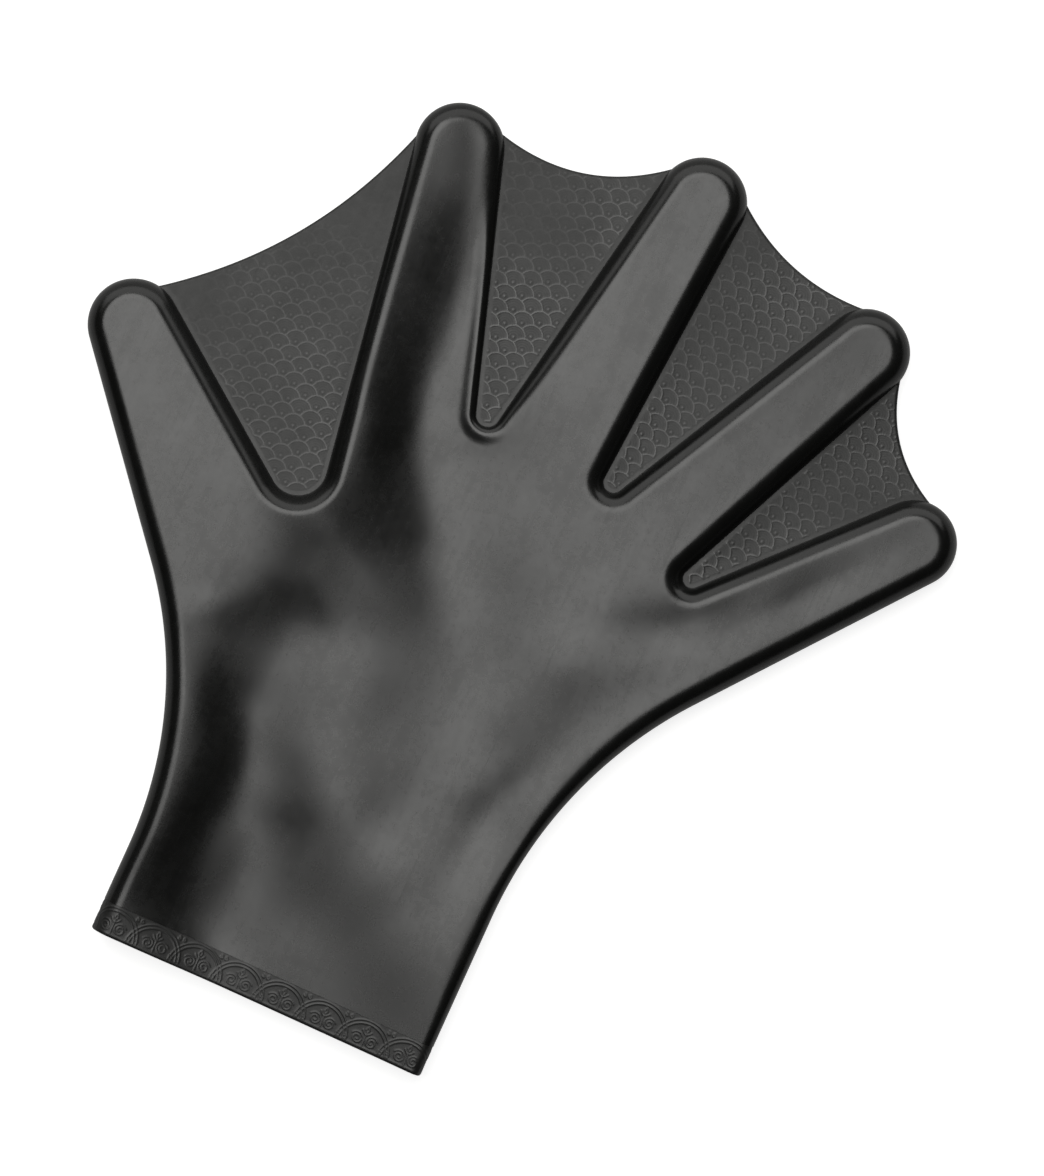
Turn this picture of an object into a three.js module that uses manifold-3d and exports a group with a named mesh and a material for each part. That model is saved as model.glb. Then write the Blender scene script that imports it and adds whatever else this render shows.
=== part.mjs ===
import * as THREE from 'three';
import { mergeVertices } from 'three/addons/utils/BufferGeometryUtils.js';
import Module from 'manifold-3d';

// Webbed swim glove for the right hand, moulded in silicone rubber, lying flat on its palm.
// Millimetres, +Z up, +Y from the wrist to the fingers, +X towards the little finger.
// The axes of the five stalls meet in one fan point inside the palm, at x 0, y 0.

// Driving dimensions.
const FINGER_REACH = 177;
const STALL_WIDTH = 22;
const PALM_DEPTH = 49.3;
const CUFF_WIDTH = 88.6;
const CUFF_OFFSET = 3.4;
const THICKNESS = 13;
const SHOULDER = 4.2;
const WALL = 1.5;
const WEB_THICKNESS = 1.3;
const BAND_HEIGHT = 7.5;
const CLEARANCE = 0.3;

// How far past the deeper of its two crotches each stall begins.
const ROOT_PAST_CROTCH = STALL_WIDTH * 0.12;

// One row for each finger. Angles are in degrees: turn is from +Y towards +X, and the two
// tapers are how far each side of the stall opens towards its root. reach is a share of
// FINGER_REACH, from the fan point to the centre of the tip. width is a share of
// STALL_WIDTH, across the tip.
const FINGERS = [
  { name: 'thumb', turn: -46.2, reach: 0.729, width: 0.99, thumbTaper: 6.3, littleTaper: 6.7 },
  { name: 'index', turn: -13.2, reach: 0.941, width: 0.97, thumbTaper: 3.6, littleTaper: 5.2 },
  { name: 'middle', turn: 7.4, reach: 0.999, width: 0.96, thumbTaper: 2.7, littleTaper: 3.3 },
  { name: 'ring', turn: 25.3, reach: 0.986, width: 0.96, thumbTaper: 2.2, littleTaper: 1.3 },
  { name: 'little', turn: 41.2, reach: 0.899, width: 0.94, thumbTaper: 1.9, littleTaper: 2.6 },
];

// One row for each web. crotch is the radius at its root, a share of STALL_WIDTH. bow is
// how far its free edge curves in towards the palm, a share of that edge's span. first and
// second are how far round the two tips it reaches, in degrees past the end of the stall's
// side. sag is how far its middle hangs down, a share of THICKNESS.
const WEBS = [
  { name: 'thumb_index', crotch: 0.32, bow: 0.08, first: 30, second: 6, sag: 0.1 },
  { name: 'index_middle', crotch: 0.13, bow: 0.13, first: 27, second: 19, sag: 0.06 },
  { name: 'middle_ring', crotch: 0.11, bow: 0.1, first: 29, second: 40, sag: 0.05 },
  { name: 'ring_little', crotch: 0.1, bow: 0.125, first: 15, second: 50, sag: 0.04 },
];

// Radii of the waist on the thumb's side and on the little finger's side, shares of
// FINGER_REACH.
const WAIST = { thumb: 0.58, little: 0.62 };

// Drops of the upper wall, each a soft step down to the right of a path that runs away from
// the cuff. Each place on a path gives x, y, the width of the step and how far the drop
// lasts beyond it, shares of FINGER_REACH, and the drop, a share of THICKNESS.
const DROPS = [
  {
    name: 'thumb side',
    path: [
      [-0.128, -0.32, 0.125, 0.34, 0.32],
      [-0.14, -0.2, 0.12, 0.34, 0.33],
      [-0.155, -0.1, 0.108, 0.34, 0.34],
      [-0.17, -0.02, 0.095, 0.34, 0.33],
      [-0.187, 0.05, 0.085, 0.34, 0.3],
      [-0.207, 0.11, 0.082, 0.34, 0.26],
      [-0.228, 0.165, 0.085, 0.34, 0.21],
      [-0.245, 0.215, 0.1, 0.34, 0.16],
      [-0.258, 0.27, 0.11, 0.34, 0.08],
      [-0.262, 0.325, 0.11, 0.34, 0.02],
      [-0.262, 0.38, 0.11, 0.34, 0],
    ],
  },
  {
    name: 'index',
    path: [
      [-0.13, 0.25, 0.14, 0.25, 0],
      [-0.117, 0.31, 0.14, 0.22, 0.12],
      [-0.107, 0.37, 0.13, 0.19, 0.25],
      [-0.104, 0.43, 0.118, 0.16, 0.32],
      [-0.117, 0.49, 0.1, 0.14, 0.33],
      [-0.139, 0.55, 0.084, 0.12, 0.31],
      [-0.16, 0.61, 0.075, 0.11, 0.27],
      [-0.175, 0.68, 0.075, 0.12, 0.22],
      [-0.184, 0.75, 0.085, 0.14, 0.17],
      [-0.193, 0.81, 0.1, 0.14, 0.12],
      [-0.203, 0.87, 0.1, 0.14, 0.04],
      [-0.213, 0.93, 0.1, 0.14, 0],
    ],
  },
  {
    name: 'little side',
    path: [
      [0.19, -0.32, 0.08, 0.1, 0.05],
      [0.198, -0.15, 0.07, 0.08, 0.045],
      [0.2, -0.03, 0.06, 0.065, 0.05],
      [0.19, 0.05, 0.062, 0.06, 0.085],
      [0.185, 0.1, 0.068, 0.06, 0.13],
      [0.197, 0.145, 0.07, 0.06, 0.14],
      [0.224, 0.185, 0.07, 0.06, 0.125],
      [0.26, 0.223, 0.068, 0.06, 0.1],
      [0.294, 0.273, 0.07, 0.06, 0.085],
      [0.336, 0.328, 0.075, 0.06, 0.075],
      [0.39, 0.385, 0.075, 0.06, 0.06],
      [0.46, 0.44, 0.07, 0.06, 0.03],
      [0.53, 0.5, 0.06, 0.06, 0],
    ],
  },
];

// Raised arches along the upper side of the cuff band. pitch is a share of CUFF_WIDTH; span
// and rise are the half width and height of one arch, shares of the pitch and of
// BAND_HEIGHT; ridge and height are the line's half width and height, shares of BAND_HEIGHT.
const ARCHES = { count: 7, pitch: 0.1335, span: 0.56, rise: 0.8, ridge: 0.06, height: 0.045 };

// The whole upper wall sags a little between its edges, by this share of THICKNESS.
const SAG = 0.01;

// How finely the curves are cut.
const STEPS = {
  wrist: 4,
  waist: 9,
  side: 9,
  tip: 12,
  crotch: 6,
  cuff: 9,
  shoulder: 3,
  lining: 2,
  arch: 6,
  drop: 4,
};
const WEB_STEPS = { along: 10, across: 8 };
const GRID = 0.042 * FINGER_REACH;

const COLORS = { shell: 0x2b2c2b, web: 0x343634, band: 0x272827 };

const radians = (degrees) => (degrees * Math.PI) / 180;
const plus = (a, b, k = 1) => [a[0] + b[0] * k, a[1] + b[1] * k];
const cross = (a, b) => a[0] * b[1] - a[1] * b[0];
const heading = (degrees) => [Math.sin(radians(degrees)), Math.cos(radians(degrees))];
const rightOf = (d) => [d[1], -d[0]];

// Where the line through p along d crosses the line through q along e.
function meet(p, d, q, e) {
  return plus(p, d, cross(plus(q, p, -1), e) / cross(d, e));
}

// One side line of a stall. hand is -1 on the thumb's side and 1 on the little finger's.
function stallSide(finger, hand, inset) {
  const taper = hand < 0 ? finger.thumbTaper : finger.littleTaper;
  const out = rightOf(heading(finger.turn + hand * -taper)).map((v) => v * hand);
  const along = heading(finger.turn - hand * taper);
  const tip = heading(finger.turn).map((v) => v * finger.reach * FINGER_REACH);
  const radius = (STALL_WIDTH * finger.width) / 2 - inset;
  return { start: plus(tip, out, radius), along, out, tip, radius };
}

// Points of an arc about a centre, from angle a to angle b, ends included.
function arc(centre, radius, a, b, steps) {
  return Array.from({ length: steps + 1 }, (_, i) => {
    const t = a + ((b - a) * i) / steps;
    return [centre[0] + radius * Math.cos(t), centre[1] + radius * Math.sin(t)];
  });
}

// The arc that joins a line arriving at p along d to a line leaving q along e.
function fillet(p, d, q, e, radius, steps) {
  const corner = meet(p, d, q, e);
  const turn = Math.atan2(cross(d, e), d[0] * e[0] + d[1] * e[1]);
  const first = plus(corner, d, -radius * Math.tan(Math.abs(turn) / 2));
  const centre = plus(first, rightOf(d), -Math.sign(turn) * radius);
  const from = Math.atan2(first[1] - centre[1], first[0] - centre[0]);
  return arc(centre, radius, from, from + turn, steps);
}

function between(p, q, steps) {
  return Array.from({ length: steps - 1 }, (_, i) => {
    const t = (i + 1) / steps;
    return [p[0] + (q[0] - p[0]) * t, p[1] + (q[1] - p[1]) * t];
  });
}

// The lowest point of the gap that web w fills.
function crotchPoint(w) {
  const first = stallSide(FINGERS[w], 1, 0);
  const second = stallSide(FINGERS[w + 1], -1, 0);
  const back = first.along.map((v) => -v);
  const curve = fillet(first.start, back, second.start, second.along, WEBS[w].crotch * STALL_WIDTH, 2);
  return curve[1];
}

// How far from the fan point a stall begins, along its axis.
function rootOf(index) {
  const axis = heading(FINGERS[index].turn);
  const crotches = [index - 1, index].filter((w) => w >= 0 && w < WEBS.length).map(crotchPoint);
  return Math.max(...crotches.map((p) => p[0] * axis[0] + p[1] * axis[1])) + ROOT_PAST_CROTCH;
}

// The glove's outline without its webs, moved inwards by inset, from the thumb's corner
// of the cuff round the five stalls and back along the cuff. It always has the same
// number of points, so that outlines of different insets can be skinned together.
function outline(inset, cuffY) {
  const left = [CUFF_OFFSET - CUFF_WIDTH / 2 + inset, cuffY];
  const right = [CUFF_OFFSET + CUFF_WIDTH / 2 - inset, cuffY];
  const points = [left];
  let from = left;
  let along = [0, 1];
  let bend = WAIST.thumb * FINGER_REACH + inset;
  let steps = STEPS.wrist;
  FINGERS.forEach((finger, i) => {
    const near = stallSide(finger, -1, inset);
    const far = stallSide(finger, 1, inset);
    const bendSteps = i === 0 ? STEPS.waist : STEPS.crotch;
    const curve = fillet(from, along, near.start, near.along, bend, bendSteps);
    const begin = Math.atan2(near.out[1], near.out[0]);
    const sweep = radians(180 - finger.thumbTaper - finger.littleTaper);
    points.push(...between(from, curve[0], steps), ...curve);
    points.push(...between(curve.at(-1), near.start, STEPS.side));
    points.push(...arc(near.tip, near.radius, begin, begin - sweep, STEPS.tip));
    from = far.start;
    along = far.along.map((v) => -v);
    steps = STEPS.side;
    bend = (i < WEBS.length ? WEBS[i].crotch * STALL_WIDTH : WAIST.little * FINGER_REACH) + inset;
  });
  const curve = fillet(from, along, right, [0, -1], bend, STEPS.waist);
  points.push(...between(from, curve[0], STEPS.side), ...curve);
  points.push(...between(curve.at(-1), right, STEPS.wrist), right);
  points.push(...between(right, left, STEPS.cuff));
  return points;
}

function isInside(p, loop) {
  let inside = false;
  loop.forEach((a, i) => {
    const b = loop[(i + 1) % loop.length];
    if (a[1] > p[1] !== b[1] > p[1] && p[0] < ((b[0] - a[0]) * (p[1] - a[1])) / (b[1] - a[1]) + a[0]) {
      inside = !inside;
    }
  });
  return inside;
}

function distanceTo(p, loop) {
  return Math.min(...loop.map((a, i) => {
    const d = plus(loop[(i + 1) % loop.length], a, -1);
    const r = plus(p, a, -1);
    const t = Math.min(1, Math.max(0, (r[0] * d[0] + r[1] * d[1]) / (d[0] * d[0] + d[1] * d[1])));
    return Math.hypot(r[0] - d[0] * t, r[1] - d[1] * t);
  }));
}

// Points inside a plateau: a row along the middle of each stall, and a grid in the palm.
function innerPoints(loop) {
  const points = [];
  FINGERS.forEach((finger, index) => {
    const end = finger.reach * FINGER_REACH;
    const start = rootOf(index);
    const count = Math.round((end - start) / (GRID * 1.1));
    for (let i = 0; i <= count; i += 1) {
      points.push(heading(finger.turn).map((v) => v * (start + ((end - start) * i) / count)));
    }
  });
  const stalls = points.slice();
  const span = Math.ceil(FINGER_REACH / GRID);
  for (let row = -span; row <= span; row += 1) {
    for (let column = -span; column <= span; column += 1) {
      const p = [(column + (row % 2) / 2) * GRID, row * GRID * 0.866];
      const clear = stalls.every((q) => Math.hypot(p[0] - q[0], p[1] - q[1]) > GRID * 0.8);
      if (clear && isInside(p, loop) && distanceTo(p, loop) > GRID * 0.72) {
        points.push(p);
      }
    }
  }
  return points;
}

// Delaunay triangles of a set of points, added one at a time inside a large first triangle.
function triangulate(points) {
  const far = FINGER_REACH * 20;
  const all = [...points, [-far, -far], [far, -far], [0, far]];
  const n = points.length;
  const circle = (t) => {
    const [a, b, c] = t.map((i) => all[i]);
    const p = plus(b, a, -1);
    const q = plus(c, a, -1);
    const d = 2 * cross(p, q);
    const pp = p[0] * p[0] + p[1] * p[1];
    const qq = q[0] * q[0] + q[1] * q[1];
    const centre = [(q[1] * pp - p[1] * qq) / d, (p[0] * qq - q[0] * pp) / d];
    return { t, x: a[0] + centre[0], y: a[1] + centre[1], r: Math.hypot(...centre) };
  };
  let cells = [circle([n, n + 1, n + 2])];
  points.forEach((p, index) => {
    const open = new Map();
    cells = cells.filter((cell) => {
      if (Math.hypot(p[0] - cell.x, p[1] - cell.y) > cell.r - 1e-9) {
        return true;
      }
      cell.t.forEach((a, k) => {
        const b = cell.t[(k + 1) % 3];
        if (!open.delete(`${b} ${a}`)) {
          open.set(`${a} ${b}`, [a, b]);
        }
      });
      return false;
    });
    open.forEach(([a, b]) => cells.push(circle([a, b, index])));
  });
  return cells.map((cell) => cell.t).filter((t) => Math.max(...t) < n);
}

// A smooth curve through rows of values, with steps places between each two rows.
function smoothPath(rows, steps) {
  const padded = [rows[0], ...rows, rows[rows.length - 1]];
  const places = [];
  for (let i = 1; i < padded.length - 2; i += 1) {
    const [a, b, c, d] = [padded[i - 1], padded[i], padded[i + 1], padded[i + 2]];
    for (let k = 0; k < steps; k += 1) {
      const t = k / steps;
      places.push(b.map((v, n) => {
        const cubic = d[n] - a[n] + 3 * (v - c[n]);
        const square = 2 * a[n] - 5 * v + 4 * c[n] - d[n];
        return v + 0.5 * t * (c[n] - a[n] + t * (square + t * cubic));
      }));
    }
  }
  places.push(rows[rows.length - 1]);
  return places;
}

// The paths of the drops in millimetres, each place with its direction along the path.
const DROP_PATHS = DROPS.map(({ path }) => {
  const rows = smoothPath(path, STEPS.drop);
  const at = rows.map(([x, y]) => [x * FINGER_REACH, y * FINGER_REACH]);
  return rows.map(([, , width, reach, drop], i) => {
    const chord = plus(at[Math.min(i + 1, at.length - 1)], at[Math.max(i - 1, 0)], -1);
    const along = chord.map((v) => v / Math.hypot(...chord));
    const values = [width * FINGER_REACH, reach * FINGER_REACH, drop * THICKNESS];
    return { at: at[i], along, values };
  });
});

// How far one drop lowers the upper wall at p: half of 1 + tanh(2.2 s / width), times a bell
// that lets it fade beyond the step. s is the distance to the right of the path. It and the
// path's values are averages over the path that favour its nearest places.
function dropDepth(p, places) {
  const soft = (0.02 * FINGER_REACH) ** 2;
  const gaps = places.map(({ at }) => (p[0] - at[0]) ** 2 + (p[1] - at[1]) ** 2 + soft);
  const least = Math.min(...gaps);
  const weights = gaps.map((gap) => (least / gap) ** 6);
  const total = weights.reduce((sum, weight) => sum + weight, 0);
  const mean = (value) => {
    return places.reduce((sum, place, i) => sum + weights[i] * value(place), 0) / total;
  };
  const s = mean(({ at, along }) => cross(plus(p, at, -1), along));
  const [width, reach, drop] = [0, 1, 2].map((n) => mean(({ values }) => values[n]));
  const fade = Math.exp(-((Math.max(s, 0) / reach) ** 2));
  return drop * fade * 0.5 * (1 + Math.tanh((2.2 * s) / width));
}

// How far the upper wall lies below its full height: a sag that sets in next to the
// shoulders, and the drops.
function dentAt(p, edge) {
  const sag = SAG * THICKNESS * (1 - Math.exp(-((edge / (SHOULDER * 0.42)) ** 2)));
  return DROP_PATHS.reduce((sum, places) => sum + dropDepth(p, places), sag);
}

// A closed mesh geometry from vertices and triangles.
function geometryOf(vertices, triangles) {
  const geometry = new THREE.BufferGeometry();
  geometry.setAttribute('position', new THREE.Float32BufferAttribute(vertices.flat(), 3));
  geometry.setIndex(triangles.flat());
  return geometry;
}

// A flat glove form with round shoulders and a dented top, moved inwards by inset. Its cuff
// end is a flat face at cuffY.
function form(inset, cuffY, rings) {
  const half = THICKNESS / 2;
  const height = half - inset;
  const vertices = [];
  const triangles = [];
  const plateau = outline(SHOULDER, cuffY);
  const inner = innerPoints(plateau);
  const count = plateau.length;
  for (let k = -rings; k <= rings; k += 1) {
    const rise = Math.sin((k / rings) * (Math.PI / 2));
    const fall = 1 - Math.cos((k / rings) * (Math.PI / 2));
    outline(inset + (SHOULDER - inset) * fall, cuffY).forEach((p) => {
      const dent = rise > 0 ? dentAt(p, 0) * rise ** 3 : 0;
      vertices.push([...p, half + height * rise - dent]);
    });
  }
  for (let k = 0; k < rings * 2; k += 1) {
    for (let i = 0; i < count; i += 1) {
      const a = k * count + i;
      const b = k * count + ((i + 1) % count);
      triangles.push([a, a + count, b], [b, a + count, b + count]);
    }
  }
  const topRing = rings * 2 * count;
  const topInner = vertices.length;
  inner.forEach((p) => vertices.push([...p, half + height - dentAt(p, distanceTo(p, plateau))]));
  triangulate([...plateau, ...inner]).forEach((t) => {
    const points = t.map((i) => (i < count ? plateau[i] : inner[i - count]));
    const middle = plus(plus(points[0], points[1]), points[2]).map((v) => v / 3);
    if (isInside(middle, plateau)) {
      triangles.push(t.map((i) => (i < count ? topRing + i : topInner + i - count)));
    }
  });
  const loop = plateau.map((p) => new THREE.Vector2(...p));
  THREE.ShapeUtils.triangulateShape(loop, []).forEach((t) => triangles.push([t[0], t[2], t[1]]));
  return geometryOf(vertices, triangles);
}

// A plan polygon made a prism that passes through the whole thickness.
function prism(points) {
  const shape = new THREE.Shape(points.map((p) => new THREE.Vector2(...p)));
  const geometry = new THREE.ExtrudeGeometry(shape, { depth: THICKNESS * 3, bevelEnabled: false });
  return geometry.translate(0, 0, -THICKNESS);
}

// The sector of the plan that holds one stall, from its root outwards. Its sides run up
// the middle of the webs, and clear of the stall where there is no web.
function stallSector(index, gap) {
  const finger = FINGERS[index];
  const axis = heading(finger.turn);
  const root = axis.map((v) => v * (rootOf(index) + gap));
  const sides = [-1, 1].map((hand) => {
    const w = hand < 0 ? index - 1 : index;
    if (w < 0 || w >= WEBS.length) {
      return { from: plus(root, rightOf(axis), hand * STALL_WIDTH * 3), along: axis };
    }
    const tips = [stallSide(FINGERS[w], 1, 0).tip, stallSide(FINGERS[w + 1], -1, 0).tip];
    const from = crotchPoint(w);
    const along = plus(plus(tips[0], tips[1]).map((v) => v / 2), from, -1);
    return { from, along: along.map((v) => v / Math.hypot(...along)) };
  });
  const near = sides.map(({ from, along }) => meet(root, rightOf(axis), from, along));
  const far = sides.map(({ along }, i) => plus(near[i], along, FINGER_REACH));
  return prism([near[0], near[1], far[1], far[0]]);
}

// The edge of a web along one of its stalls, from the crotch to the web's free edge.
function webSide(curve, side, past, hand) {
  const begin = Math.atan2(side.out[1], side.out[0]);
  const round = arc(side.tip, side.radius, begin, begin + radians(past) * hand, 2);
  return [...curve, ...between(curve.at(-1), side.start, WEB_STEPS.along), ...round];
}

// A thin web at mid height, with a bowed free edge and a sag in its middle.
function webForm(w) {
  const web = WEBS[w];
  const first = stallSide(FINGERS[w], 1, -CLEARANCE);
  const second = stallSide(FINGERS[w + 1], -1, -CLEARANCE);
  const back = first.along.map((v) => -v);
  const bend = web.crotch * STALL_WIDTH - CLEARANCE;
  const curve = fillet(first.start, back, second.start, second.along, bend, STEPS.crotch);
  const half = STEPS.crotch / 2;
  const left = webSide(curve.slice(0, half + 1).reverse(), first, web.first, 1);
  const right = webSide(curve.slice(half), second, web.second, -1);
  const rows = left.length;
  const across = WEB_STEPS.across;
  const vertices = [];
  const triangles = [];
  [1, -1].forEach((face) => {
    left.forEach((a, j) => {
      const b = right[j];
      const chord = plus(b, a, -1);
      const v = j / (rows - 1);
      for (let i = 0; i <= across; i += 1) {
        const u = i / across;
        const bump = 4 * u * (1 - u);
        const p = plus(plus(a, chord, u), rightOf(chord), bump * web.bow * v * v);
        const z = THICKNESS / 2 - web.sag * THICKNESS * bump * v;
        vertices.push([...p, z + (face * WEB_THICKNESS) / 2]);
      }
    });
  });
  const size = rows * (across + 1);
  const id = (j, i) => j * (across + 1) + i;
  const quad = (a, b, c, d) => triangles.push([a, b, c], [a, c, d]);
  for (let j = 0; j < rows - 1; j += 1) {
    for (let i = 0; i < across; i += 1) {
      quad(id(j, i), id(j, i + 1), id(j + 1, i + 1), id(j + 1, i));
      quad(size + id(j, i), size + id(j + 1, i), size + id(j + 1, i + 1), size + id(j, i + 1));
    }
    quad(id(j, 0), id(j + 1, 0), size + id(j + 1, 0), size + id(j, 0));
    quad(id(j, across), size + id(j, across), size + id(j + 1, across), id(j + 1, across));
  }
  for (let i = 0; i < across; i += 1) {
    quad(id(rows - 1, i), id(rows - 1, i + 1), size + id(rows - 1, i + 1), size + id(rows - 1, i));
    quad(id(0, i), size + id(0, i), size + id(0, i + 1), id(0, i + 1));
  }
  return geometryOf(vertices, triangles);
}

// A raised line with a three-sided section that follows plan points on the upper wall.
function ridge(points) {
  const vertices = [];
  const triangles = [];
  points.forEach((p, i) => {
    const ahead = plus(points[Math.min(i + 1, points.length - 1)], points[Math.max(i - 1, 0)], -1);
    const side = rightOf(ahead).map((v) => (v / Math.hypot(...ahead)) * ARCHES.ridge * BAND_HEIGHT);
    const z = THICKNESS - dentAt(p, SHOULDER * 3);
    vertices.push([...plus(p, side), z - WALL / 4], [...plus(p, side, -1), z - WALL / 4]);
    vertices.push([...p, z + ARCHES.height * BAND_HEIGHT]);
    if (i > 0) {
      [[0, 1], [1, 2], [2, 0]].forEach(([a, b]) => {
        const from = i * 3 - 3;
        triangles.push([from + a, from + b, from + 3 + b], [from + a, from + 3 + b, from + 3 + a]);
      });
    }
  });
  const last = vertices.length;
  triangles.push([0, 2, 1], [last - 3, last - 2, last - 1]);
  return geometryOf(vertices, triangles);
}

// The plan points of one arch of the cuff band.
function archPoints(index) {
  const pitch = ARCHES.pitch * CUFF_WIDTH;
  const middle = CUFF_OFFSET + (index - (ARCHES.count - 1) / 2) * pitch;
  const foot = BAND_HEIGHT * 0.08 - PALM_DEPTH;
  return Array.from({ length: STEPS.arch + 1 }, (_, i) => {
    const t = Math.PI * (i / STEPS.arch);
    const x = middle - Math.cos(t) * ARCHES.span * pitch;
    return [x, foot + Math.sin(t) * ARCHES.rise * BAND_HEIGHT];
  });
}

const wasm = await Module();
wasm.setup();

// A geometry as a solid that can be joined and cut.
function solid(geometry) {
  const plain = geometry.clone();
  plain.deleteAttribute('normal');
  plain.deleteAttribute('uv');
  const merged = mergeVertices(plain, 1e-4);
  return new wasm.Manifold(new wasm.Mesh({
    numProp: 3,
    vertProperties: new Float32Array(merged.attributes.position.array),
    triVerts: new Uint32Array(merged.index.array),
  }));
}

const group = new THREE.Group();

function add(name, shape, color) {
  const { vertProperties, triVerts } = shape.getMesh();
  const geometry = new THREE.BufferGeometry();
  geometry.setAttribute('position', new THREE.BufferAttribute(vertProperties, 3));
  geometry.setIndex(new THREE.BufferAttribute(triVerts, 1));
  geometry.computeVertexNormals();
  const material = new THREE.MeshStandardMaterial({ color, roughness: 0.55, metalness: 0 });
  const mesh = new THREE.Mesh(geometry, material);
  mesh.name = name;
  group.add(mesh);
}

// A slab of the plan below a height on the Y axis, for the cuff band.
function below(y) {
  const x = CUFF_WIDTH * 2;
  return prism([[-x, -PALM_DEPTH * 3], [x, -PALM_DEPTH * 3], [x, y], [-x, y]]);
}

// The hollow shell of the hand, open at the cuff.
const outer = solid(form(0, -PALM_DEPTH, STEPS.shoulder));
const lining = solid(form(WALL, -PALM_DEPTH - WALL * 2, STEPS.lining));
const shell = outer.subtract(lining);
const bandTop = BAND_HEIGHT - PALM_DEPTH;

let palm = shell.subtract(solid(below(bandTop + CLEARANCE / 2)));
FINGERS.forEach((finger, i) => {
  palm = palm.subtract(solid(stallSector(i, -CLEARANCE / 2)));
});
add('palm', palm, COLORS.shell);
FINGERS.forEach((finger, i) => {
  add(`${finger.name}_stall`, shell.intersect(solid(stallSector(i, CLEARANCE / 2))), COLORS.shell);
});
WEBS.forEach((web, w) => {
  add(`web_${web.name}`, solid(webForm(w)), COLORS.web);
});
let band = shell.intersect(solid(below(bandTop - CLEARANCE / 2)));
for (let i = 0; i < ARCHES.count; i += 1) {
  band = band.add(solid(ridge(archPoints(i))));
}
add('cuff_band', band, COLORS.band);

export default group;
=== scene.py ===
"""Dresses the webbed swim glove: a seamless silicone hand, four patterned webs and an embossed cuff band.

Every surface is worked out from the sizes in GloveSizes and the short tables above it. Lengths in the
tables are shares of those sizes, unless a table says metres or millimetres. The frame has +Y from the wrist
to the fingers, +X towards the little finger and +Z up, and the axes of the five stalls meet at x 0, y 0.
"""

import itertools
import math

import bpy
import numpy as np
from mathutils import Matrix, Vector
from mathutils.geometry import delaunay_2d_cdt


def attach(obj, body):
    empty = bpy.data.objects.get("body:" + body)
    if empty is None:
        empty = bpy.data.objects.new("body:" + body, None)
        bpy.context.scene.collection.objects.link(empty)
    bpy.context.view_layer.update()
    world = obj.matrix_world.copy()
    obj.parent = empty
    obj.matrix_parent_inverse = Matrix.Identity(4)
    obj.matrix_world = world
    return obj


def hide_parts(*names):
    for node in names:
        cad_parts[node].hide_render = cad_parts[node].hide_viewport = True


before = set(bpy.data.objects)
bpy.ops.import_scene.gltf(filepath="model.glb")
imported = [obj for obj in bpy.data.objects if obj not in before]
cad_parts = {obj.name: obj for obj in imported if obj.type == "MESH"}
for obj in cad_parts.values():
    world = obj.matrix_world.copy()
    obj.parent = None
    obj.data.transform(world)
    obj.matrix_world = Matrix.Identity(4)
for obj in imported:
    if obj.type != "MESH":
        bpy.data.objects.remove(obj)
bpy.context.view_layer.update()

bl_info = {
    "name": "Webbed swim glove",
    "version": (1, 0, 0),
    "blender": (4, 5, 0),
    "location": "View3D > Sidebar > Glove",
    "description": "Builds the silicone hand, the webs and the cuff band of a webbed swim glove",
    "category": "Add Mesh",
}

STALL_NODES = ("thumb_stall", "index_stall", "middle_stall", "ring_stall", "little_stall")

# turn is in degrees from +Y towards +X, the two tapers are how far each side of the stall opens towards
# its root, reach is a share of the finger reach and width a share of the stall width.
FINGERS = (
    {"turn": -46.0, "reach": 0.7265, "width": 1.03, "tapers": (6.2, 7.5)},
    {"turn": -13.07, "reach": 0.939, "width": 1.005, "tapers": (3.6, 5.2)},
    {"turn": 7.25, "reach": 0.992, "width": 1.01, "tapers": (2.7, 3.3)},
    {"turn": 25.22, "reach": 0.982, "width": 0.985, "tapers": (2.2, 1.3)},
    {"turn": 41.05, "reach": 0.8945, "width": 0.975, "tapers": (1.9, 2.6)},
)

# crotch is a share of the stall width, bow a share of the free edge's span, past how far the free edge
# reaches round its two tips in degrees, sag a share of the thickness. up is the heading of the scale pattern
# in degrees, bead the place of one scale's centre in shares of the finger reach and wear how much the scales
# fade on the way out.
WEBS = (
    {"name": "web_thumb_index", "crotch": 0.32, "bow": 0.08, "past": (30, 6), "sag": 0.04,
     "up": -34.6, "bead": (-0.2412, 0.4147), "wear": 1.25},
    {"name": "web_index_middle", "crotch": 0.13, "bow": 0.13, "past": (27, 19), "sag": 0.025,
     "up": -24.5, "bead": (-0.039, 0.6842), "wear": 0.75},
    {"name": "web_middle_ring", "crotch": 0.11, "bow": 0.1, "past": (29, 40), "sag": 0.02,
     "up": 0.0, "bead": (0.1938, 0.6384), "wear": 0.6},
    {"name": "web_ring_little", "crotch": 0.1, "bow": 0.125, "past": (15, 50), "sag": 0.02,
     "up": 0.0, "bead": (0.3955, 0.6282), "wear": 0.5},
)

WAIST = {"thumb": 0.58, "little": 0.62}

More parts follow.
